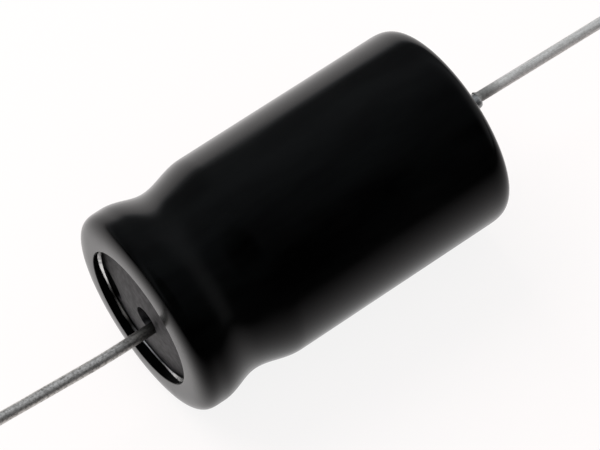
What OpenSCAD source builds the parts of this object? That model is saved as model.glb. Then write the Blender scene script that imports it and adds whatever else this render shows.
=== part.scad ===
// Axial-lead aluminium electrolytic capacitor with a shrunk sleeve.
// Its axis lies along X: the rubber-sealed end faces -X and the closed end of the can faces +X.
// The origin is at the middle of the sleeved body. All sizes are in millimetres.

/* [Sleeved body] */
// Diameter over the sleeve
body_d = 16; // [14.5:0.5:22]
// Length over the sleeve, from the sealed end to the closed end
body_len = 27.3; // [24:0.1:40]
// Wall of the shrunk sleeve
sleeve_wall = 0.2; // [0.12:0.02:0.24]
// Diameter of the sleeve's round window over the closed end
window_d = 11.4; // [8:0.2:12]
// How far the sleeve's edge is tucked into the mouth at the sealed end
tuck_depth = 0.48; // [0.36:0.02:0.7]

/* [Can] */
// Wall of the impact-extruded can
can_wall = 0.4; // [0.3:0.05:0.45]
// Thickness of the can's closed end
can_floor = 0.7; // [0.5:0.1:1.2]
// Corner radius of the closed end, over the sleeve
floor_corner = 1.2; // [1:0.1:2]

/* [Rolled groove and curled rim] */
// From the sealed end to the crest of the bead
crest_at = 1.5; // [1.3:0.1:1.8]
// Length of the bead's level crest
crest_land = 0.45; // [0.2:0.05:0.8]
// From the sealed end to the bottom of the groove
groove_at = 5.1; // [4.6:0.1:5.8]
// Depth of the groove below the body
groove_depth = 0.67; // [0.3:0.01:0.9]
// From the bottom of the groove to where the body is full again
shoulder_run = 3.6; // [2.5:0.1:4.5]
// Squareness of the rim's rounding, from the mouth's lip to the bead, where 2 is a quarter ellipse
rim_square = 3; // [2.4:0.2:4]
// Diameter of the mouth inside the curled rim, over the sleeve
mouth_d = 10.8; // [9.6:0.1:11]
// Rounding of the rim where it turns into the mouth, over the sleeve
lip_round = 0.3; // [0.26:0.02:0.4]
// From the sealed end to the can's cut edge, which bites on the rubber
curl_depth = 0.9; // [0.8:0.05:1.3]

/* [Rubber end seal] */
// Thickness of the bung at its edge
seal_thickness = 5.8; // [5:0.1:7]
// How far the middle of the bung bulges out past its edge
seal_bulge = 0.48; // [0.2:0.02:0.7]
// Chamfer of the bung's front edge
seal_chamfer = 0.5; // [0.3:0.1:0.8]
// Diameter of the bung's bore, which holds the anode stub
bore_d = 2.2; // [2:0.1:2.6]
// How far the bore stands off the axis
bore_off = 0.3; // [0:0.05:0.5]
// Radius of the pressure-relief notch in the bung's front edge
notch_r = 1.35; // [1:0.05:1.6]
// How far the notch reaches in from the mouth
notch_reach = 1.4; // [0.9:0.1:1.7]
// Depth of the notch
notch_depth = 0.8; // [0.4:0.1:1.2]
// Direction of the notch about the axis, in degrees from +Y towards +Z
notch_side = -28; // [-180:1:180]

/* [Leads and stubs] */
// Diameter of the tinned wire leads
lead_d = 0.8; // [0.6:0.05:0.9]
// How far each lead reaches past its end of the body
lead_reach = 38; // [25:1:45]
// Direction about the axis in which the anode lead stands off, in degrees from +Y towards +Z
lead_side = 204; // [0:1:360]
// Lean of the anode lead back towards the axis, in degrees
anode_lean = 3.2; // [0.5:0.1:5]
// How far the anode lead runs parallel to the axis, past the sealed end, before it leans
anode_straight = 3.4; // [2:0.1:5]
// Lean of the cathode lead back towards the axis, in degrees
cathode_lean = 1.3; // [0.5:0.1:5]
// How far the cathode lead stands off the axis of its stub, on the side away from the anode lead
cathode_off = 0.15; // [0.05:0.05:0.2]
// From the sealed end to the outer face of the anode stub, inside the bore
stub_sink = 2; // [1.6:0.1:2.6]
// Diameter of the anode stub's rivet head behind the bung
head_d = 4.6; // [4:0.1:6]
// Thickness of that head
head_t = 0.6; // [0.4:0.1:0.8]
// Diameter of the cathode stub
stub_d = 1.2; // [1.1:0.05:1.6]
// How far the cathode stub reaches past the closed end
stub_reach = 3; // [2:0.1:3.6]
// Length of the cathode stub's rounded tip
stub_tip = 0.35; // [0.2:0.05:0.5]
// Diameter of the weld that joins the cathode stub to the can
stub_foot_d = 2.2; // [1.7:0.1:3]
// Height of that weld
stub_foot_h = 0.35; // [0.2:0.05:0.6]

/* [Winding and tabs] */
// Gap between the winding and the can's bore
winding_play = 0.35; // [0.2:0.05:0.6]
// Room between the winding and the seal's end of the can
front_room = 0.6; // [0.3:0.1:1.5]
// Room between the winding and the can's closed end
rear_room = 0.85; // [0.75:0.05:1.5]
// Diameter of the hole that the winding mandrel left
core_d = 2.6; // [2:0.1:3.5]
// Width of the closing tape
tape_w = 11; // [8:0.5:12]
// Thickness of the closing tape
tape_t = 0.08; // [0.05:0.01:0.12]
// Width of the aluminium tabs
tab_w = 2.5; // [2:0.1:3]
// Thickness of the tabs
tab_t = 0.25; // [0.15:0.05:0.3]
// Inner radius of the tabs' bend
tab_bend = 0.4; // [0.3:0.05:0.45]
// Distance of the tabs' straight legs from the axis
tab_radius = 3.6; // [3.2:0.1:4.5]
// How far the tabs' flat legs run past the axis
tab_heel = 1.2; // [0.8:0.1:1.6]
// How far the tabs reach into the winding
tab_reach = 5; // [3:0.5:6]

/* [Fits] */
// Gap between the sleeve and the can
shrink_gap = 0.02; // [0.01:0.01:0.04]
// Gap around the rubber bung and under the can's cut edge
seal_gap = 0.02; // [0.01:0.01:0.04]
// Gap between the stub and its bore, and between the anode lead and the bore's side
bore_gap = 0.02; // [0.01:0.01:0.04]
// Gap around the tabs in the winding, and between the winding and its tape
tab_gap = 0.05; // [0.02:0.01:0.08]

/* [Hidden] */
$fn = 96;
arc_step = 15;
blend_steps = 14;
dome_steps = 10;
// Overshoot of cutting shapes, so that no cut ends on a face
cut_over = 0.5;

body_r = body_d / 2;
mouth_r = mouth_d / 2;
lead_r = lead_d / 2;
fall_from = crest_at + crest_land;
shoulder_at = groove_at + shoulder_run;

// Depths below the sleeve's outer face: the can's outer face, its inner face and the bung's side
can_outside = sleeve_wall + shrink_gap;
can_inside = can_outside + can_wall;
seal_side = can_inside + seal_gap;

floor_face = body_len - can_outside;
floor_inside = floor_face - can_floor;

seal_front = curl_depth + seal_gap;
seal_back = seal_front + seal_thickness;
seal_middle = seal_front - seal_bulge;

anode_off = bore_off + bore_d / 2 - bore_gap - lead_r;

head_back = seal_back + head_t;
bend_room = tab_t + tab_bend;
winding_from = max(head_back + bend_room, shoulder_at) + front_room;
winding_to = floor_inside - rear_room;
winding_r = body_r - can_inside - winding_play;

// Rises from 0 to 1 along half a cosine wave
function smooth(u) = (1 - cos(180 * u)) / 2;

function reversed(points) = [for (i = [len(points) - 1:-1:0]) points[i]];

// Radius over the sleeve at the distance x from the sealed end, from the bead's crest onwards
function body_line(x) =
    x < fall_from ? body_r :
    x < groove_at ? body_r - groove_depth * smooth((x - fall_from) / (groove_at - fall_from)) :
    x < shoulder_at ? body_r - groove_depth * smooth((shoulder_at - x) / shoulder_run) :
    body_r;

// Points [radius, distance] along that line, the given depth below it
function line_points(from, to, depth) =
    [for (i = [0:blend_steps]) let (x = from + (to - from) * i / blend_steps) [body_line(x) - depth, x]];

// The rim's turn into the mouth, from the mouth's wall to where the rounding starts
function lip_points(depth) =
    [for (a = [0:arc_step:90 - arc_step])
        [mouth_r + lip_round - (lip_round - depth) * cos(a), lip_round - (lip_round - depth) * sin(a)]];

// The rim's rounding, from the lip to the bead's crest, as a quarter of a squared ellipse
function rim_points(depth) =
    let (reach = body_r - mouth_r - lip_round, power = 2 / rim_square)
    [for (a = [0:arc_step / 2:90]) [
        body_r - reach + (reach - depth) * pow(sin(a), power),
        crest_at - (crest_at - depth) * pow(cos(a), power)
    ]];

// The rim's rounding outside a radius, the bead and the groove, up to the full body
function side_points(depth, from_r = 0) = concat(
    [for (p = rim_points(depth)) if (p[0] > from_r) p],
    line_points(fall_from, groove_at, depth),
    line_points(groove_at, shoulder_at, depth));

// A corner that turns from the side to the closed end
function corner_points(outer_r, end_x, radius) =
    [for (a = [0:arc_step:90])
        [outer_r - radius + radius * cos(a), end_x - radius + radius * sin(a)]];

// The whole body's line at a depth below the sleeve's face, from the mouth to the closed end
function skin_points(depth) = concat(
    lip_points(depth),
    side_points(depth),
    corner_points(body_r - depth, body_len - depth, floor_corner - depth));

// Turns a profile of [radius, distance] points about the X axis
module turned(points) {
    along_axis() rotate_extrude() polygon(points);
}

// Puts what is modelled along Z from the sealed end onto the body's axis
module along_axis() {
    translate([-body_len / 2, 0, 0]) rotate([0, 90, 0]) children();
}

module sleeve() {
    color([0.035, 0.036, 0.04])
        turned(concat(
            [[mouth_r, tuck_depth]],
            skin_points(0),
            [[window_d / 2, body_len], [window_d / 2, body_len - sleeve_wall]],
            reversed(skin_points(sleeve_wall)),
            [[mouth_r + sleeve_wall, tuck_depth]]));
}

module can() {
    inner_corner = floor_corner - can_inside;
    color([0.8, 0.81, 0.82])
        turned(concat(
            [[mouth_r + can_outside, curl_depth]],
            skin_points(can_outside),
            [[0, floor_face], [0, floor_inside]],
            reversed(corner_points(body_r - can_inside, floor_inside, inner_corner)),
            reversed(side_points(can_inside, mouth_r + can_inside)),
            [[mouth_r + can_inside, can_inside], [mouth_r + can_inside, curl_depth]]));
}

module end_seal() {
    edge_r = mouth_r + can_outside;
    side_r = body_r - seal_side;
    full_from = max(crest_at, seal_front + seal_chamfer);
    color([0.3, 0.3, 0.31])
        difference() {
            turned(concat(
                [for (i = [0:dome_steps]) let (u = i / dome_steps)
                    [edge_r * u, seal_middle + seal_bulge * pow(u, 2)]],
                [[side_r - seal_chamfer, seal_front], [side_r, full_from]],
                line_points(fall_from, groove_at, seal_side),
                line_points(groove_at, seal_back, seal_side),
                [[0, seal_back]]));
            rotate([lead_side, 0, 0]) translate([0, bore_off, 0]) along_axis()
                cylinder(h = seal_back + cut_over, d = bore_d);
            rotate([notch_side, 0, 0]) translate([0, mouth_r - notch_reach + notch_r, 0]) along_axis()
                cylinder(h = seal_front + notch_depth, r = notch_r);
        }
}

// The anode's rivet: its shank fills the inner stretch of the bore
module anode_stub() {
    color([0.78, 0.79, 0.8])
        rotate([lead_side, 0, 0]) translate([0, bore_off, 0]) along_axis() {
            translate([0, 0, stub_sink]) cylinder(h = seal_back - stub_sink + head_t, d = bore_d - 2 * bore_gap);
            translate([0, 0, seal_back]) cylinder(h = head_t, d = head_d);
        }
}

// Wire that runs along +X from the origin, where it ends on the plane of its mitre
module mitred_wire(length) {
    difference() {
        translate([-cut_over, 0, 0]) rotate([0, 90, 0]) cylinder(h = cut_over + length, d = lead_d);
        rotate([0, 0, anode_lean / 2]) translate([-2 * lead_d, -lead_d, -lead_d]) cube(2 * lead_d);
    }
}

// Tinned wire, butt-welded to the stub's face beside the bore's wall. It runs parallel to the axis out of
// the bore, then leans back towards the axis. The two stretches meet on their mitre.
module anode_lead() {
    straight = anode_straight + stub_sink;
    kink = body_len / 2 + anode_straight;
    run = (lead_reach - anode_straight) / cos(anode_lean);
    color([0.68, 0.68, 0.67])
        rotate([lead_side, 0, 0]) rotate([0, 180, 0]) translate([kink, anode_off, 0]) {
            mirror([1, 0, 0]) mitred_wire(straight);
            rotate([0, 0, -anode_lean]) mitred_wire(run);
        }
}

// A strip with one bend: a flat leg across the axis and a straight leg of the given length
function tab_profile(leg) =
    let (centre = [tab_radius - bend_room, bend_room])
    concat(
        [[-tab_heel, 0]],
        [for (a = [-90:arc_step:0]) centre + bend_room * [cos(a), sin(a)]],
        [[tab_radius, leg], [tab_radius - tab_t, leg]],
        [for (a = [0:-arc_step:-90]) centre + tab_bend * [cos(a), sin(a)]],
        [[-tab_heel, tab_t]]);

module tab(leg) {
    rotate([90, 0, 90]) linear_extrude(height = tab_w, center = true) polygon(tab_profile(leg));
}

// The slot that a tab takes between the winding's turns, from the winding's end inwards
module tab_slot() {
    translate([-tab_w / 2 - tab_gap, tab_radius - tab_t - tab_gap, -cut_over])
        cube([tab_w + 2 * tab_gap, tab_t + 2 * tab_gap, cut_over + tab_reach + tab_gap]);
}

// Staked to the anode foil, and welded to the back of the rivet's head
module anode_tab() {
    color([0.8, 0.81, 0.82])
        along_axis() translate([0, 0, head_back]) tab(winding_from + tab_reach - head_back);
}

// Staked to the cathode foil, and welded to the inside of the can's closed end
module cathode_tab() {
    color([0.8, 0.81, 0.82])
        along_axis() translate([0, 0, floor_inside]) rotate([180, 0, 0]) tab(floor_inside - winding_to + tab_reach);
}

// Anode foil, cathode foil and two paper separators, rolled up together
module winding() {
    color([0.72, 0.66, 0.52])
        along_axis() difference() {
            translate([0, 0, winding_from]) cylinder(h = winding_to - winding_from, r = winding_r);
            translate([0, 0, winding_from - cut_over])
                cylinder(h = winding_to - winding_from + 2 * cut_over, d = core_d);
            translate([0, 0, winding_from]) tab_slot();
            translate([0, 0, winding_to]) rotate([180, 0, 0]) tab_slot();
        }
}

// Closes the roll's last turn
module winding_tape() {
    inner_r = winding_r + tab_gap;
    middle = (winding_from + winding_to) / 2;
    color([0.85, 0.8, 0.62])
        along_axis() translate([0, 0, middle - tape_w / 2]) difference() {
            cylinder(h = tape_w, r = inner_r + tape_t);
            translate([0, 0, -cut_over]) cylinder(h = tape_w + 2 * cut_over, r = inner_r);
        }
}

// Aluminium stub, welded to the middle of the can's closed end from outside, with a rounded tip
module cathode_stub() {
    stub_len = body_len + stub_reach - floor_face;
    tip_from = stub_len - stub_tip;
    stub_r = stub_d / 2;
    color([0.75, 0.76, 0.77])
        along_axis() translate([0, 0, floor_face]) rotate_extrude() polygon(concat(
            [[0, 0], [stub_foot_d / 2, 0], [stub_r, stub_foot_h]],
            [for (a = [0:arc_step:90])
                [lead_r + (stub_r - lead_r) * cos(a), tip_from + stub_tip * sin(a)]],
            [[0, stub_len]]));
}

// Tinned wire, butt-welded to the tip of the cathode stub a little beside its middle. Its lean tips the cut end.
module cathode_lead() {
    root = body_len / 2 + stub_reach + lead_r * tan(cathode_lean);
    run = (body_len / 2 + lead_reach - root) / cos(cathode_lean);
    color([0.7, 0.7, 0.69])
        rotate([lead_side + 180, 0, 0]) translate([root, cathode_off, 0]) rotate([0, 0, -cathode_lean])
            rotate([0, 90, 0]) cylinder(h = run, d = lead_d);
}

sleeve();
can();
end_seal();
anode_stub();
anode_lead();
anode_tab();
winding();
winding_tape();
cathode_tab();
cathode_stub();
cathode_lead();
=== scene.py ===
"""An axial-lead aluminium electrolytic capacitor: the looks of each piece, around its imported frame.

X runs along the body from the rubber-sealed end to the closed end, and Z is up. The meshes, table, lamp and
camera are in metres. The part's sizes are in mm, with distances from the sealed end unless a docstring says
otherwise, and angles are about the axis, from +Y towards +Z.
"""

import math

import bmesh
import bpy
import numpy as np
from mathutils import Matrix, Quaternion, Vector


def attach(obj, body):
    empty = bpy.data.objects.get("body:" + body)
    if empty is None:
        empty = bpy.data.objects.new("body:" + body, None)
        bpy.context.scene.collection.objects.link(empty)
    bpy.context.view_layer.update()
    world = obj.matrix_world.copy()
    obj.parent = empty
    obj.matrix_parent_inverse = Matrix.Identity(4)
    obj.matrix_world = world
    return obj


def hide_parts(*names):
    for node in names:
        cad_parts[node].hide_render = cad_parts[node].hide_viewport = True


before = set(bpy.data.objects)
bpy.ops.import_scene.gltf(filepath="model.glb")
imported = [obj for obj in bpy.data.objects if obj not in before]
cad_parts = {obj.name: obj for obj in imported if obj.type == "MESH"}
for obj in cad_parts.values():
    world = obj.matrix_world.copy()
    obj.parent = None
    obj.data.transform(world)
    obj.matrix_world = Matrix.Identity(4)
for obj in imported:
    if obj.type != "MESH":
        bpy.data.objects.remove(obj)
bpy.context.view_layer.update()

# Can
# Impact-extruded from a slug of pure aluminium, so its floor and wall are one piece. After filling, a groove
# is rolled into the wall behind the bung, and the open edge is curled over, back onto the rubber.

MM = 0.001
body_d = 16.0
body_len = 27.3
sleeve_wall = 0.2
shrink_gap = 0.02
can_wall = 0.4
can_floor = 0.7
mouth_d = 10.8
lip_round = 0.3
crest_at = 1.5
crest_land = 0.45
groove_at = 5.1
groove_depth = 0.67
shoulder_run = 3.6
floor_corner = 1.2
shoulder_reach = 1.7
curl_depth = 0.9
edge_break = 0.04
nose_at = 0.74
nose_end = 0.8
nose_height = 0.13
nose_fullness = 0.8
# How square the rim and the closed end's corner are: the power of their ellipse, 2 for a round one
rim_square = 3.0
floor_square = 2.75
# Points round the body, and rows along the stretches of its line
points_round = 256
lip_rows = 8
rim_rows = 34
groove_rows = 44
side_rows = 10
corner_rows = 16
quarter_rows = 10

body_r = body_d / 2
mouth_r = mouth_d / 2
can_outside = sleeve_wall + shrink_gap
can_inside = can_outside + can_wall
floor_face = body_len - can_outside
floor_inside = floor_face - can_floor
round_angle = np.linspace(0, 2 * np.pi, points_round, endpoint=False)[:, None]
quarter = np.linspace(0, np.pi / 2, quarter_rows)


def colour(code):
    """A hex sRGB colour as linear red, green, blue and alpha."""
    srgb = np.array([int(code[i:i + 2], 16) for i in (1, 3, 5)]) / 255
    linear = np.where(srgb <= 0.04045, srgb / 12.92, ((srgb + 0.055) / 1.055) ** 2.4)
    return (*linear.tolist(), 1.0)


def smooth(u):
    """Rises from 0 to 1 along half a cosine wave."""
    return (1 - np.cos(np.pi * np.clip(u, 0, 1))) / 2


def waves(rows):
    """The sum of cosine waves at each angle round the body, from rows of [waves per turn, height, phase]."""
    count, height, phase = np.array(rows).T
    return (height * np.cos(count * round_angle + phase)).sum(1, keepdims=True)


def skin_line(depth, fineness=1):
    """The body's line at a depth below the sleeve's face, as rows of [distance, radius].

    A quarter circle turns from the mouth to the rim, a quarter of a squared ellipse rounds the rim up to the
    bead's crest, and two half cosines form the groove. A straight line and another squared quarter lead to
    the closed end. The fineness multiplies the rows between the lip and that last corner.
    """
    a = np.linspace(0, np.pi / 2, lip_rows)
    lip = np.stack([lip_round - (lip_round - depth) * np.sin(a),
                    mouth_r + lip_round - (lip_round - depth) * np.cos(a)], 1)
    b = np.linspace(0, np.pi / 2, rim_rows * fineness)[1:]
    reach, power = body_r - mouth_r - lip_round, 2 / rim_square
    rim = np.stack([crest_at - (crest_at - depth) * np.abs(np.cos(b)) ** power,
                    body_r - reach + (reach - depth) * np.sin(b) ** power], 1)
    fall_from, shoulder_at = crest_at + crest_land, groove_at + shoulder_run
    x = np.linspace(fall_from, shoulder_at, groove_rows * fineness)
    fall = smooth((x - fall_from) / (groove_at - fall_from))
    rise = smooth((shoulder_at - x) / shoulder_run)
    groove = np.stack([x, body_r - groove_depth * np.where(x < groove_at, fall, rise) - depth], 1)
    x = np.linspace(shoulder_at, body_len - shoulder_reach, side_rows * fineness)[1:-1]
    side = np.stack([x, np.full_like(x, body_r - depth)], 1)
    c = np.linspace(0, np.pi / 2, corner_rows)
    power = 2 / floor_square
    corner = np.stack([body_len - shoulder_reach + (shoulder_reach - depth) * np.sin(c) ** power,
                       body_r - floor_corner + (floor_corner - depth) * np.abs(np.cos(c)) ** power], 1)
    return np.concatenate([lip, rim, groove, side, corner])


def all_round(x, r):
    """Rows of [distance, radius] at each angle round the body, from values that may be alike all round."""
    return np.stack(np.broadcast_arrays(x, r, 0 * round_angle)[:2], -1)


# The curling rollers left the mouth a little off the axis, towards 30 degrees, up to the radius drift_to
mouth_drift = waves([[1, 0.12, -0.524]]) - 0.03
drift_to = 6.5
# The closed end slants back a little towards 35 degrees, in its last millimetres, outside the radius sway_r
end_sway = waves([[1, 0.04, -3.75]]) - 0.035
sway_from = body_len / 2 + 10.0
sway_r = 5.2
sway_fade = 2.0


def turned(*lines):
    """Joins lines of [distance, radius] in mm and turns them about the X axis: a grid of points in metres.

    In front of the bead's crest, radii drift with the mouth, less and less from its lip out, along half a
    cosine. Distances sway with the closed end, more and more along half cosines of distance and radius.
    """
    line = np.concatenate([all_round(part[..., 0], part[..., 1]) for part in lines], 1)
    x, r = line[..., 0], line[..., 1]
    r = r + mouth_drift * smooth((drift_to - r) / (drift_to - mouth_r - lip_round)) * (x < crest_at)
    swayed = smooth((x - sway_from) / (body_len - sway_from)) * smooth((r - sway_r) / sway_fade)
    x = x + end_sway * swayed
    return np.stack([x - body_len / 2, r * np.cos(round_angle), r * np.sin(round_angle)], -1) * MM


def mesh_piece(name, points, quads, finish):
    """A piece with a grid's points and quads and a material, which rides on the body."""
    mesh = bpy.data.meshes.new(name)
    mesh.from_pydata(points.reshape(-1, 3).tolist(), [], quads.reshape(-1, 4).tolist())
    mesh.materials.append(finish)
    piece = bpy.data.objects.new(name, mesh)
    bpy.context.scene.collection.objects.link(piece)
    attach(piece, "root")
    return piece


def close_up(mesh):
    """Merges a mesh's doubles, turns its faces outwards and shades it smooth."""
    form = bmesh.new()
    form.from_mesh(mesh)
    bmesh.ops.remove_doubles(form, verts=form.verts, dist=1e-8)
    bmesh.ops.recalc_face_normals(form, faces=form.faces)
    form.to_mesh(mesh)
    form.free()
    mesh.shade_smooth()


def round_shell(name, grid, finish):
    """A closed piece from a turned grid, whose rows and columns both join up with the first."""
    rows, columns = grid.shape[:2]
    index = np.arange(rows * columns).reshape(rows, columns)
    down, across = np.roll(index, -1, 0), np.roll(index, -1, 1)
    piece = mesh_piece(name, grid, np.stack([index, across, np.roll(across, -1, 0), down], -1), finish)
    close_up(piece.data)
    return piece


def add(tree, kind, settings, links, stops=()):
    """Adds a node, sets its properties, sets or links its inputs by name or number, and sets a ramp's stops.

    A node as a link stands for its first output. Stops are rows of position and linear colour, in order.
    """
    node = tree.nodes.new(kind)
    for name, value in settings.items():
        setattr(node, name, value)
    for key, value in links.items():
        if isinstance(value, bpy.types.Node):
            value = value.outputs[0]
        if isinstance(value, bpy.types.NodeSocket):
            tree.links.new(value, node.inputs[key])
        else:
            node.inputs[key].default_value = value
    for number, (position, shade) in enumerate(stops):
        if number > 1:
            node.color_ramp.elements.new(position)
        stop = node.color_ramp.elements[number]
        stop.position = position
        stop.color = shade
    return node


def material(name):
    """A new material, its empty node tree and its object coordinates."""
    made = bpy.data.materials.new(name)
    made.use_nodes = True
    tree = made.node_tree
    tree.nodes.clear()
    return made, tree, add(tree, "ShaderNodeTexCoord", {}, {}).outputs["Object"]


def around_axis(tree, place):
    """Distance from the X axis, the angle about it, and X, of a point in object coordinates."""
    parts = add(tree, "ShaderNodeSeparateXYZ", {}, {0: place})
    flat = add(tree, "ShaderNodeCombineXYZ", {}, {1: parts.outputs["Y"], 2: parts.outputs["Z"]})
    reach = add(tree, "ShaderNodeVectorMath", {"operation": "LENGTH"}, {0: flat})
    angle = add(tree, "ShaderNodeMath", {"operation": "ARCTAN2"},
                {0: parts.outputs["Z"], 1: parts.outputs["Y"]})
    return reach.outputs["Value"], angle, parts.outputs["X"]


# Painted shade on the can's curl in the mouth, standing in for the dark stretches of its reflections: by
# degrees, how much of the aluminium's colour is left
painted_nose_shade = [(-74, 1.0), (-66, 0.1), (-61, 0.1), (-55, 0.9), (-48, 0.8), (-41, 0.06), (-36, 0.06),
                 (-31, 0.3), (-23, 1.0)]


def drawn_aluminium():
    """Pure aluminium from the extrusion punch: bright, with fine rings about the axis and duller patches.

    The rings are 0.05 mm apart, drawn at 0.15 mm to show, and the patches are about 0.6 mm across. On the
    sealed half, painted shade darkens it in stretches about the axis.
    """
    made, tree, place = material("drawn_aluminium")
    reach, angle, along = around_axis(tree, place)
    ring_place = add(tree, "ShaderNodeCombineXYZ", {}, {0: reach, 1: along})
    rings = add(tree, "ShaderNodeTexNoise", {},
                {"Vector": ring_place, "Scale": 1 / (0.15 * MM), "Detail": 3.0})
    patches = add(tree, "ShaderNodeTexNoise", {}, {"Vector": place, "Scale": 1 / (0.6 * MM), "Detail": 4.0})
    tone = add(tree, "ShaderNodeValToRGB", {}, {0: patches},
               [(0.3, colour("#8c8d8e")), (0.46, colour("#e4e4e2"))])
    # Painted shade: stretches of the curl on the sealed half are darkened by angle, for the dark of its
    # reflections
    turn = add(tree, "ShaderNodeMapRange", {}, {"Value": angle, "From Min": -math.pi, "From Max": math.pi})
    painted_shade = add(tree, "ShaderNodeValToRGB", {}, {0: turn},
                [(0.5 + degrees / 360, (left, left, left, 1)) for degrees, left in painted_nose_shade])
    sealed_half = add(tree, "ShaderNodeMath", {"operation": "LESS_THAN"}, {0: along, 1: 0.0})
    shade_painted_tone = add(tree, "ShaderNodeMix", {"data_type": "RGBA", "blend_type": "MULTIPLY"},
                  {"Factor": sealed_half, "A": tone, "B": painted_shade})
    rough = add(tree, "ShaderNodeMapRange", {}, {"Value": patches, "To Min": 0.45, "To Max": 0.22})
    relief = add(tree, "ShaderNodeBump", {}, {"Height": rings, "Strength": 0.25, "Distance": 0.004 * MM})
    shader = add(tree, "ShaderNodeBsdfPrincipled", {},
                 {"Base Color": shade_painted_tone.outputs["Result"], "Metallic": 1.0, "Roughness": rough,
                  "Normal": relief})
    add(tree, "ShaderNodeOutputMaterial", {}, {"Surface": shader})
    return made


# Where the sleeve ends in the mouth. It was cut by hand, so its edge wanders, and it reaches deeper in two
# folds, given by angle in radians and depth. A fold is a cosine wave, made narrow by a power.
tuck_depth = 0.45
tuck_folds = [(0.1, 0.12), (4.45, 0.035)]
fold_power = 10
tuck_sway = waves([[1, 0.077, 1.71], [2, 0.081, 2.91], [3, 0.036, -2.35], [4, 0.025, 1.91], [5, 0.043, 2.73],
                   [17, 0.009, 0.6], [31, 0.006, 2.4]])
tucked_edge = tuck_depth + tuck_sway
for fold_angle, fold_depth in tuck_folds:
    tucked_edge = tucked_edge + fold_depth * ((1 + np.cos(round_angle - fold_angle)) / 2) ** fold_power

# Behind the sleeve's edge the can's curl swells into a nose of two quarter ellipses, the front one fuller
nose_sway = waves([[2, 0.05, 2.97]])
edge_r = mouth_r + can_outside
curl_inside_r = edge_r + can_wall
swell_from = np.maximum(tucked_edge, lip_round)
swell_end = nose_end + nose_sway
swell_crest = nose_at + nose_sway
nose_back = all_round(swell_end - (swell_end - swell_crest) * (1 - np.cos(quarter)),
                      edge_r - nose_height * np.sin(quarter))
nose_front = all_round(swell_crest - (swell_crest - swell_from) * (1 - np.cos(quarter)),
                       edge_r - nose_height * np.cos(quarter) ** nose_fullness)
inner_corner = floor_corner - can_inside
floor_line = np.stack([floor_inside - inner_corner + inner_corner * np.cos(quarter),
                       body_r - can_inside - inner_corner + inner_corner * np.sin(quarter)], 1)
inner_line = skin_line(can_inside)[lip_rows:-corner_rows][::-1]
inner_line = inner_line[inner_line[:, 1] > curl_inside_r]
can_grid = turned(
    np.array([[curl_depth, curl_inside_r], [curl_depth, edge_r + edge_break]]),
    nose_back, nose_front, skin_line(can_outside),
    np.array([[floor_face, mouth_r], [floor_face, mouth_r / 2], [floor_face, 0], [floor_inside, 0]]),
    floor_line, inner_line, np.array([[can_inside, curl_inside_r]]))
can_shell = round_shell("can_shell", can_grid, drawn_aluminium())
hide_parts("can")

# Winding
# Anode foil, cathode foil and two paper separators, rolled up together and soaked with electrolyte. The end
# faces show the turns, pale paper proud of darker foil.


def soaked_winding():
    """Kraft paper and etched foil: a turn of both is 0.12 mm thick, drawn at 0.2 mm, with 2.5 mm stains."""
    made, tree, place = material("soaked_winding")
    reach, angle, along = around_axis(tree, place)
    turns = add(tree, "ShaderNodeMath", {"operation": "MULTIPLY_ADD"},
                {0: reach, 1: 2 * math.pi / (0.2 * MM), 2: angle})
    wave = add(tree, "ShaderNodeMath", {"operation": "SINE"}, {0: turns})
    layer = add(tree, "ShaderNodeMapRange", {}, {"Value": wave, "From Min": -1.0})
    stains = add(tree, "ShaderNodeTexNoise", {}, {"Vector": place, "Scale": 1 / (2.5 * MM), "Detail": 5.0})
    paper = add(tree, "ShaderNodeValToRGB", {}, {0: stains},
                [(0.35, colour("#a88f62")), (0.65, colour("#c9b98f"))])
    tone = add(tree, "ShaderNodeMix", {"data_type": "RGBA"},
               {"Factor": layer, "A": colour("#6d6a62"), "B": paper})
    relief = add(tree, "ShaderNodeBump", {}, {"Height": layer, "Strength": 0.6, "Distance": 0.05 * MM})
    shader = add(tree, "ShaderNodeBsdfPrincipled", {},
                 {"Base Color": tone.outputs["Result"], "Roughness": 0.55, "Normal": relief})
    add(tree, "ShaderNodeOutputMaterial", {}, {"Surface": shader})
    return made


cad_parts["winding"].data.materials[0] = soaked_winding()

# Winding tape
# A polypropylene tape that closes the last turn. It is thin, clear yellow-brown and lightly glossy.


def clear_tape():
    """Stretched polypropylene film: smooth, with faint creases along its pull, 1.5 mm apart."""
    made, tree, place = material("clear_tape")
    stretched = add(tree, "ShaderNodeMapping", {}, {"Vector": place, "Scale": (0.15, 1.0, 1.0)})
    creases = add(tree, "ShaderNodeTexNoise", {}, {"Vector": stretched, "Scale": 1 / (1.5 * MM)})
    tone = add(tree, "ShaderNodeValToRGB", {}, {0: creases},
               [(0.3, colour("#b79a5a")), (0.7, colour("#d2bd84"))])
    relief = add(tree, "ShaderNodeBump", {}, {"Height": creases, "Strength": 0.3, "Distance": 0.02 * MM})
    shader = add(tree, "ShaderNodeBsdfPrincipled", {},
                 {"Base Color": tone, "Roughness": 0.22, "Normal": relief})
    add(tree, "ShaderNodeOutputMaterial", {}, {"Surface": shader})
    return made


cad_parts["winding_tape"].data.materials[0] = clear_tape()

# Tabs and stubs
# Slit aluminium strip, staked to the foils and welded on, and stubs of drawn aluminium wire. The anode's stub
# is upset into a rivet head, and coloured near-black as painted shade, for the dark of the deep bore it sits
# in.


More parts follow.
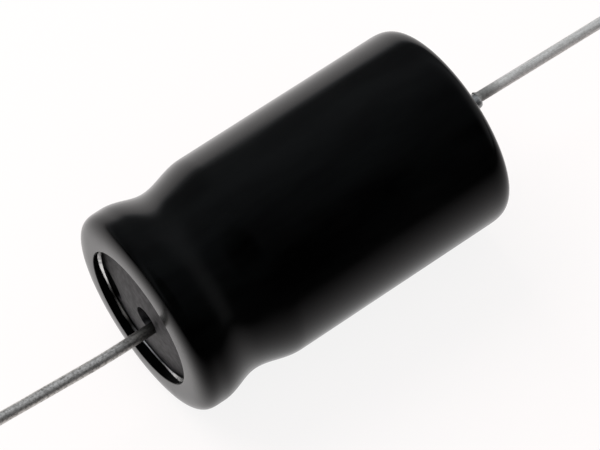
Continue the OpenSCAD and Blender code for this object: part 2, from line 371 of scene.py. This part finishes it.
def rolled_aluminium(name, dark, pale):
    """Rolled or drawn aluminium: satin and a little dull, with lines along X, 0.08 mm apart."""
    made, tree, place = material(name)
    stretched = add(tree, "ShaderNodeMapping", {}, {"Vector": place, "Scale": (0.05, 1.0, 1.0)})
    lines = add(tree, "ShaderNodeTexNoise", {}, {"Vector": stretched, "Scale": 1 / (0.08 * MM)})
    tone = add(tree, "ShaderNodeValToRGB", {}, {0: lines}, [(0.3, colour(dark)), (0.7, colour(pale))])
    relief = add(tree, "ShaderNodeBump", {}, {"Height": lines, "Strength": 0.4, "Distance": 0.005 * MM})
    shader = add(tree, "ShaderNodeBsdfPrincipled", {},
                 {"Base Color": tone, "Metallic": 1.0, "Roughness": 0.42, "Normal": relief})
    add(tree, "ShaderNodeOutputMaterial", {}, {"Surface": shader})
    return made


satin_aluminium = rolled_aluminium("rolled_aluminium", "#8a8b8b", "#b4b5b5")
for name in ("anode_tab", "cathode_tab", "cathode_stub"):
    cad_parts[name].data.materials[0] = satin_aluminium
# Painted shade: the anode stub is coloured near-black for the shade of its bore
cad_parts["anode_stub"].data.materials[0] = rolled_aluminium("painted_shade_stub_aluminium", "#0b0b0c", "#161617")

# Rubber bung
# Moulded EPDM rubber, matt grey-black, with the grain of the spark-eroded mould. Its domed face has the bore
# for the anode stub and a crescent notch in its edge where the can vents.


def moulded_rubber():
    """Filled EPDM: a low soft gloss, mould grain of 0.06 mm, drawn at 0.15 mm, and a pale bloom of 0.5 mm."""
    made, tree, place = material("moulded_rubber")
    bloom = add(tree, "ShaderNodeTexNoise", {}, {"Vector": place, "Scale": 1 / (0.5 * MM), "Detail": 6.0})
    grain = add(tree, "ShaderNodeTexNoise", {}, {"Vector": place, "Scale": 1 / (0.15 * MM), "Detail": 2.0})
    tone = add(tree, "ShaderNodeValToRGB", {}, {0: bloom},
               [(0.35, colour("#0f0f10")), (0.65, colour("#39393b"))])
    relief = add(tree, "ShaderNodeBump", {}, {"Height": grain, "Strength": 1.0, "Distance": 0.02 * MM})
    shader = add(tree, "ShaderNodeBsdfPrincipled", {},
                 {"Base Color": tone, "Roughness": 0.6, "IOR": 1.4, "Normal": relief})
    add(tree, "ShaderNodeOutputMaterial", {}, {"Surface": shader})
    return made


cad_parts["end_seal"].data.materials[0] = moulded_rubber()

# Leads
# Copper-clad steel wire of 0.8 mm, hot-dip tinned and butt-welded to the aluminium stubs. The tin is dull and
# grey beside the welds, and carries drag marks along the wire and nicks from handling. By the anode's root
# the darkening is painted shade as well, for the shade of the mouth and body.

lead_d = 0.8
lead_reach = 38.0
lead_side = 204.0
cut_round = 0.06
stub_sink = 2.0
anode_off = 0.98
anode_lean = 3.2
anode_straight = 3.4
anode_bend = 2.0
stub_reach = 3.0
weld_sink = 0.2
cathode_off = 0.15
cathode_lean = 1.3
cathode_bend = 0.02
# A nick's distances from the wire's ends, and the ranges of its length, its width in radians and its depth
nick_from_root = 4.0
nick_from_cut = 1.0
nick_lengths = (0.1, 0.6)
nick_widths = (0.2, 0.6)
nick_depths = (0.008, 0.028)
# The rings of points lie closest at the wire's ends, and closer along the weld than past it. The darkening by
# each root, weld dulling and painted shade, holds for a share of its way, and a wire's roughness varies by a
# range.
wire_sides = 32
end_rings = 8
end_run = 0.1
weld_run = 1.0
weld_step = 0.05
wire_step = 0.1
darkening_hold = 0.22
rough_range = 0.08

lead_r = lead_d / 2
lead_angle = math.radians(lead_side)
wire_angle = np.linspace(0, 2 * np.pi, wire_sides + 1)


def lead_path(end, off, root, kink, lean, bend):
    """Points along a lead in mm, for an end of -1 or 1, from its root to its cut end.

    Distances are from the body's middle, and off is how far from the axis it leaves. It runs level to the
    kink, follows a parabola for the bend's length on either side of it, and leans back in degrees.
    """
    last = body_len / 2 + lead_reach
    x = np.r_[root, np.linspace(root + end_run / 10, root + end_run, end_rings),
              np.arange(root + end_run + weld_step, root + weld_run, weld_step),
              np.arange(root + weld_run, last - end_run, wire_step),
              np.linspace(last - end_run, last, end_rings)]
    past = x - kink
    run = np.where(past > bend, past, np.maximum(past + bend, 0) ** 2 / (4 * bend))
    offset = off - run * math.tan(math.radians(lean))
    return np.stack([end * x, -end * offset * math.cos(lead_angle), -end * offset * math.sin(lead_angle)], 1)


def wire(name, path, coat, nicks, seed, weld_height, weld_length, finish):
    """A wire of rings square to X along a path in mm, with a UV map of metres about it and along it.

    Its radius is the wire's and the tin coat's, falls along a quarter circle at both ends, and swells by the
    weld's height at the root along half a cosine. Each nick lowers it by a bell curve along and about it.
    """
    random = np.random.default_rng(seed)
    steps = np.r_[0, np.cumsum(np.linalg.norm(np.diff(path, axis=0), axis=1))][:, None]
    radius = lead_r + coat + weld_height * (1 - smooth(steps / weld_length)) + 0 * wire_angle
    for _ in range(nicks):
        at = random.uniform(nick_from_root, steps[-1, 0] - nick_from_cut)
        to = random.uniform(0, 2 * np.pi)
        length = random.uniform(*nick_lengths)
        width = random.uniform(*nick_widths)
        depth = random.uniform(*nick_depths)
        gap = (wire_angle - to + np.pi) % (2 * np.pi) - np.pi
        radius = radius - depth * np.exp(-((steps - at) / length) ** 2 - (gap / width) ** 2)
    from_end = np.minimum(steps, steps[-1] - steps)
    inside = np.maximum(cut_round - from_end, 0)
    radius = radius - cut_round + np.sqrt(cut_round ** 2 - inside ** 2)
    ring = np.stack([0 * wire_angle, np.cos(wire_angle), np.sin(wire_angle)], -1)
    grid = path[:, None] + radius[..., None] * ring
    ends = np.repeat(path[[0, -1]][:, None], len(wire_angle), 1)
    grid = np.concatenate([ends[:1], grid, ends[1:]]) * MM
    index = np.arange(grid.shape[0] * grid.shape[1]).reshape(grid.shape[:2])
    quads = np.stack([index[:-1, :-1], index[1:, :-1], index[1:, 1:], index[:-1, 1:]], -1)
    piece = mesh_piece(name, grid, quads, finish)
    mesh = piece.data
    along = np.r_[steps[:1], steps, steps[-1:]]
    uv = np.stack(np.broadcast_arrays(wire_angle * lead_r, along), -1).reshape(-1, 2) * MM
    corner = np.empty(len(mesh.loops), np.int32)
    mesh.loops.foreach_get("vertex_index", corner)
    mesh.uv_layers.new(name="about").data.foreach_set("uv", uv[corner].astype(np.float32).ravel())
    close_up(mesh)
    return piece


def hot_dip_tin(name, dark, pale, metal, rough, root_dull_and_painted_shade, darkening_to):
    """Tin over steel: a satin metal that drag marks along the wire blur about it, darkened by its root.

    Drag marks are 0.02 mm wide and some 2 mm long, drawn at 0.07 mm. The tin's patches are about 0.2 mm long.
    By the root, the weld's dulling and painted shade leave a share of the tin's colour, and all of it past
    the darkening's given reach, in mm.
    """
    made, tree, place = material(name)
    about = add(tree, "ShaderNodeUVMap", {"uv_map": "about"}, {})
    stretched = add(tree, "ShaderNodeMapping", {}, {"Vector": about, "Scale": (1.0, 0.04, 1.0)})
    drag = add(tree, "ShaderNodeTexNoise", {}, {"Vector": stretched, "Scale": 1 / (0.07 * MM), "Detail": 3.0})
    patches = add(tree, "ShaderNodeTexNoise", {}, {"Vector": place, "Scale": 1 / (0.2 * MM), "Detail": 6.0})
    tin = add(tree, "ShaderNodeValToRGB", {}, {0: patches}, [(0.36, colour(dark)), (0.55, colour(pale))])
    lines = add(tree, "ShaderNodeValToRGB", {}, {0: drag},
                [(0.3, (0.78, 0.78, 0.78, 1)), (0.6, (1, 1, 1, 1))])
    lined = add(tree, "ShaderNodeMix", {"data_type": "RGBA", "blend_type": "MULTIPLY"},
                {"Factor": 1.0, "A": tin, "B": lines})
    length = add(tree, "ShaderNodeSeparateXYZ", {}, {0: about}).outputs["Y"]
    # Painted shade and the weld's dulling, darkening the tin by the root
    root_darkening = add(tree, "ShaderNodeMapRange", {"interpolation_type": "SMOOTHSTEP"},
               {"Value": length, "From Min": darkening_hold * darkening_to * MM, "From Max": darkening_to * MM,
                "To Min": root_dull_and_painted_shade, "To Max": 1.0})
    tone = add(tree, "ShaderNodeVectorMath", {"operation": "SCALE"},
               {0: lined.outputs["Result"], "Scale": root_darkening})
    roughness = add(tree, "ShaderNodeMapRange", {},
                    {"Value": patches, "From Min": 0.3, "From Max": 0.7,
                     "To Min": rough + rough_range, "To Max": rough})
    tangent = add(tree, "ShaderNodeTangent", {"direction_type": "UV_MAP", "uv_map": "about"}, {})
    relief = add(tree, "ShaderNodeBump", {}, {"Height": drag, "Strength": 0.4, "Distance": 0.006 * MM})
    shader = add(tree, "ShaderNodeBsdfPrincipled", {},
                 {"Base Color": tone, "Metallic": metal, "Roughness": roughness, "Anisotropic": 0.6,
                  "Tangent": tangent, "Normal": relief})
    add(tree, "ShaderNodeOutputMaterial", {}, {"Surface": shader})
    return made


anode_path = lead_path(-1, anode_off, root=body_len / 2 - stub_sink, kink=body_len / 2 + anode_straight,
                       lean=anode_lean, bend=anode_bend)
# The anode's darkening by its root is painted shade for the shade of the mouth, besides the weld's dulling
bright_tin = hot_dip_tin("hot_dip_tin", "#a8a6a2", "#dad8d4", metal=0.9, rough=0.34, root_dull_and_painted_shade=0.05,
                         darkening_to=5.2)
anode_wire = wire("anode_wire", anode_path, coat=0.03, nicks=26, seed=4, weld_height=0.02, weld_length=0.4,
                  finish=bright_tin)
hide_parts("anode_lead")

cathode_root = body_len / 2 + stub_reach - weld_sink
cathode_path = lead_path(1, cathode_off, root=cathode_root, kink=cathode_root, lean=cathode_lean,
                         bend=cathode_bend)
dull_tin = hot_dip_tin("dull_hot_dip_tin", "#cbcbc8", "#dcdcda", metal=0.62, rough=0.5, root_dull_and_painted_shade=0.4,
                       darkening_to=2.6)
cathode_wire = wire("cathode_wire", cathode_path, coat=0.01, nicks=6, seed=9, weld_height=0.13,
                    weld_length=0.35, finish=dull_tin)
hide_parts("cathode_lead")

# Sleeve
# PVC tube, shrunk with hot air over the side, round the curled rim and over the edge of the closed end. It is
# glossy black, follows the groove in a soft line, thins into the mouth, and its cut edges wander.

window_d = 11.4
window_break = 0.05
mouth_wall = 0.1
mouth_rows = 6
sleeve_lip = 0.05
in_mouth_r = 6.0
# Ripples of the shrinking, and the room that they keep below the body's line
ripple = waves([[3, 0.004, 0.3], [5, 0.004, 1.1], [8, 0.002, 2.6], [11, 0.0015, 4.0]])
ripple_room = 0.006


def shrunk_pvc():
    """Black PVC: a smooth gloss with streaks of haze from the pull of shrinking, and dimpled like peel.

    The streaks are about 2.4 mm wide and three times as long, and the dimples are 0.8 mm apart.
    """
    made, tree, place = material("shrunk_pvc")
    pulled = add(tree, "ShaderNodeMapping", {}, {"Vector": place, "Scale": (0.3, 1.0, 1.0)})
    haze = add(tree, "ShaderNodeTexNoise", {}, {"Vector": pulled, "Scale": 1 / (2.4 * MM), "Detail": 5.0})
    peel = add(tree, "ShaderNodeTexNoise", {}, {"Vector": place, "Scale": 1 / (0.8 * MM), "Detail": 3.0})
    tone = add(tree, "ShaderNodeValToRGB", {}, {0: haze},
               [(0.35, colour("#010101")), (0.7, colour("#050606"))])
    rough = add(tree, "ShaderNodeMapRange", {},
                {"Value": haze, "From Min": 0.3, "From Max": 0.7, "To Min": 0.13, "To Max": 0.23})
    relief = add(tree, "ShaderNodeBump", {}, {"Height": peel, "Strength": 0.3, "Distance": 0.004 * MM})
    shader = add(tree, "ShaderNodeBsdfPrincipled", {},
                 {"Base Color": tone, "Roughness": rough, "IOR": 1.47, "Specular Tint": colour("#59595b"),
                  "Normal": relief})
    add(tree, "ShaderNodeOutputMaterial", {}, {"Surface": shader})
    return made


# The sleeve goes straight out of the mouth, round its lip in a quarter circle, along the body's line with its
# ripples, and over the window's broken edge. Its inside is that line again, back to the tucked edge.
wall_r = edge_r - shrink_gap - mouth_wall
outwards = np.linspace(1, 0, mouth_rows + 1)[:-1]
mouth_line = all_round(sleeve_lip + outwards * (tucked_edge - sleeve_lip), wall_r)
lip_line = np.stack([sleeve_lip * (1 - np.sin(quarter)), wall_r + sleeve_lip * (1 - np.cos(quarter))], 1)
outer = skin_line(0, fineness=2)[lip_rows:]
outer_line = all_round(outer[:, 0], outer[:, 1] + ripple * smooth(outer[:, 0] / crest_at) - ripple_room)
window_r = window_d / 2 + waves([[2, 0.05, 0.4], [3, 0.04, 1.9], [7, 0.015, 2.2], [19, 0.008, 0.7]])
window_line = all_round(body_len - np.array([0, window_break, sleeve_wall]),
                        window_r + np.array([window_break, 0, 0]))
inner = skin_line(sleeve_wall)[::-1]
inner_x = np.where(inner[:, 1] > in_mouth_r, inner[:, 0], np.minimum(inner[:, 0], tucked_edge))
sleeve_grid = turned(mouth_line, lip_line, outer_line, window_line, all_round(inner_x, inner[:, 1]),
                     all_round(tucked_edge, edge_r - shrink_gap))
shrunk_sleeve = round_shell("shrunk_sleeve", sleeve_grid, shrunk_pvc())
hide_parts("sleeve")

# Table
# A wide sheet of white card that the part lies on. The camera and glossy surfaces see it mostly as plain
# white, so that it runs out to white and keeps a soft shadow.

table_half = 3.0
table_z = -body_r * MM
white_share = 0.86
# In the gloss the card fades to the front: by share of the last 0.1 m before the axis, how much of it is left
dusk_rows = [(0.0, 0.0), (0.25, 0.05), (0.58, 0.31), (0.75, 0.55), (0.86, 0.75), (0.97, 1.0)]


def seen_directly(tree):
    """1 for rays from the camera, off glossy surfaces or through clear ones, and 0 for the rest."""
    path = add(tree, "ShaderNodeLightPath", {}, {})
    either = add(tree, "ShaderNodeMath", {"operation": "MAXIMUM"},
                 {0: path.outputs["Is Camera Ray"], 1: path.outputs["Is Glossy Ray"]})
    return add(tree, "ShaderNodeMath", {"operation": "MAXIMUM"},
               {0: either, 1: path.outputs["Is Transmission Ray"]})


def white_card():
    """Smooth warm-white card, with a share of plain white in place of its shading where it is seen directly.

    In the gloss it fades to the front and past the part's sealed end, as the light on a real table falls off.
    """
    made, tree, place = material("white_card")
    shading = add(tree, "ShaderNodeBsdfPrincipled", {},
                  {"Base Color": colour("#f8e2de"), "Roughness": 0.9, "Specular IOR Level": 0.0})
    white = add(tree, "ShaderNodeEmission", {}, {"Color": colour("#ffffff"), "Strength": 1.0})
    share = add(tree, "ShaderNodeMath", {"operation": "MULTIPLY"}, {0: seen_directly(tree), 1: white_share})
    lit = add(tree, "ShaderNodeMixShader", {}, {0: share, 1: shading, 2: white})
    spot = add(tree, "ShaderNodeSeparateXYZ", {}, {0: place})
    reach = add(tree, "ShaderNodeMapRange", {},
                {"Value": spot.outputs["Y"], "From Min": -0.1, "From Max": 0.0})
    to_front = add(tree, "ShaderNodeValToRGB", {}, {0: reach},
                   [(way, (left, left, left, 1)) for way, left in dusk_rows])
    to_seal = add(tree, "ShaderNodeMapRange", {"interpolation_type": "SMOOTHSTEP"},
                  {"Value": spot.outputs["X"], "From Min": -0.085, "From Max": -0.032})
    fall = add(tree, "ShaderNodeVectorMath", {"operation": "SCALE"}, {0: to_front, "Scale": to_seal})
    glossy = add(tree, "ShaderNodeLightPath", {}, {}).outputs["Is Glossy Ray"]
    dusk = add(tree, "ShaderNodeMix", {"data_type": "RGBA"}, {"Factor": glossy, "A": (1, 1, 1, 1), "B": fall})
    dark = add(tree, "ShaderNodeEmission", {}, {"Strength": 0.0})
    seen = add(tree, "ShaderNodeMixShader", {}, {0: dusk.outputs["Result"], 1: dark, 2: lit})
    add(tree, "ShaderNodeOutputMaterial", {}, {"Surface": seen})
    return made


card_mesh = bpy.data.meshes.new("card")
card_mesh.from_pydata([(-table_half, -table_half, table_z), (table_half, -table_half, table_z),
                       (table_half, table_half, table_z), (-table_half, table_half, table_z)],
                      [], [(0, 1, 2, 3)])
card_mesh.materials.append(white_card())
card = bpy.data.objects.new("card", card_mesh)
bpy.context.scene.collection.objects.link(card)

# Light
# A white room, bright high up behind the part, unlit in front, with an opening past the closed end. The
# camera's stand hides the ceiling over the sealed end. A soft box, out of the gloss, hangs behind left.

camera_turn = math.radians(-36.85)
camera_height = math.radians(60.67)
camera_way = Vector((math.sin(camera_turn) * math.cos(camera_height),
                     -math.cos(camera_turn) * math.cos(camera_height), math.sin(camera_height)))
stand_lean = Vector((-0.42, 0.0, 0.0))
stand_way = (camera_way + stand_lean).normalized()
# Degrees from the horizon behind, over the part, to the horizon in front, and the room's brightness there
room_rows = [(0, 0.7), (4, 0.3), (9, 0.12), (30, 0.28), (50, 0.66), (75, 0.6), (90, 0.42), (115, 0.34),
             (130, 0.15), (140, 0.02)]
room_red = 0.96
room_blue = 1.06
opening_from, opening_to = 50, 100
opening_light = (0.95, 0.95, 0.95, 1)
fill_light = (0.62, 0.62, 0.63, 1)

world = bpy.data.worlds.new("studio")
bpy.context.scene.world = world
world.use_nodes = True
studio = world.node_tree
studio.nodes.clear()
heading = add(studio, "ShaderNodeTexCoord", {}, {}).outputs["Generated"]
heading_parts = add(studio, "ShaderNodeSeparateXYZ", {}, {0: heading})
over = add(studio, "ShaderNodeMath", {"operation": "ARCTAN2"},
           {0: heading_parts.outputs["Z"], 1: heading_parts.outputs["Y"]})
half_turn = add(studio, "ShaderNodeMapRange", {}, {"Value": over, "From Max": math.pi})
room = add(studio, "ShaderNodeValToRGB", {}, {0: half_turn},
           [(degrees / 180, (room_red * light, light, room_blue * light, 1)) for degrees, light in room_rows])
to_stand = add(studio, "ShaderNodeVectorMath", {"operation": "DOT_PRODUCT"}, {0: heading, 1: stand_way})
hidden = add(studio, "ShaderNodeMapRange", {"interpolation_type": "SMOOTHSTEP"},
             {"Value": to_stand.outputs["Value"], "From Min": 0.77, "From Max": 0.9,
              "To Min": 1.0, "To Max": 0.1})
seen_room = add(studio, "ShaderNodeVectorMath", {"operation": "SCALE"}, {0: room, "Scale": hidden})
past_end = add(studio, "ShaderNodeMapRange", {"interpolation_type": "SMOOTHSTEP"},
               {"Value": heading_parts.outputs["X"], "From Min": 0.62, "From Max": 0.9})
in_front = add(studio, "ShaderNodeMapRange", {"interpolation_type": "SMOOTHSTEP"},
               {"Value": half_turn, "From Min": opening_from / 180, "From Max": opening_to / 180})
opening = add(studio, "ShaderNodeMath", {"operation": "MULTIPLY"}, {0: past_end, 1: in_front})
glossy_room = add(studio, "ShaderNodeMix", {"data_type": "RGBA"},
                  {"Factor": opening, "A": seen_room, "B": opening_light})
lit_room = add(studio, "ShaderNodeMix", {"data_type": "RGBA"},
               {"Factor": seen_directly(studio), "A": fill_light, "B": glossy_room.outputs["Result"]})
camera_ray = add(studio, "ShaderNodeLightPath", {}, {}).outputs["Is Camera Ray"]
sky = add(studio, "ShaderNodeMix", {"data_type": "RGBA"},
          {"Factor": camera_ray, "A": lit_room.outputs["Result"], "B": colour("#ffffff")})
background = add(studio, "ShaderNodeBackground", {}, {"Color": sky.outputs["Result"]})
add(studio, "ShaderNodeOutputWorld", {}, {"Surface": background})

box_place = Vector((-0.12, 0.36, 0.42))
soft_box = bpy.data.lights.new("soft_box", "AREA")
soft_box.shape = "SQUARE"
soft_box.size = 0.45
soft_box.energy = 3.2
lamp = bpy.data.objects.new("soft_box", soft_box)
lamp.location = box_place
lamp.rotation_euler = (-box_place).to_track_quat("-Z", "Y").to_euler()
lamp.visible_glossy = False
bpy.context.scene.collection.objects.link(lamp)

# Camera
# It looks down on the part from the front left, from 0.23 m away, with a long lens and a hair of roll.

camera_away = 0.23359
camera_aim = Vector((-0.00005, -0.000627, 0.000006))
camera_roll = math.radians(0.15)
lens = bpy.data.cameras.new("camera")
lens.sensor_width = 36.0
lens.lens = 197.07
lens.clip_start = 0.01
lens.clip_end = 20.0
camera = bpy.data.objects.new("camera", lens)
camera.location = camera_aim + camera_way * camera_away
level = (-camera_way).to_track_quat("-Z", "Y")
camera.rotation_euler = (level @ Quaternion((0, 0, 1), camera_roll)).to_euler()
bpy.context.scene.collection.objects.link(camera)
bpy.context.scene.camera = camera
bpy.context.scene.view_settings.view_transform = "Standard"
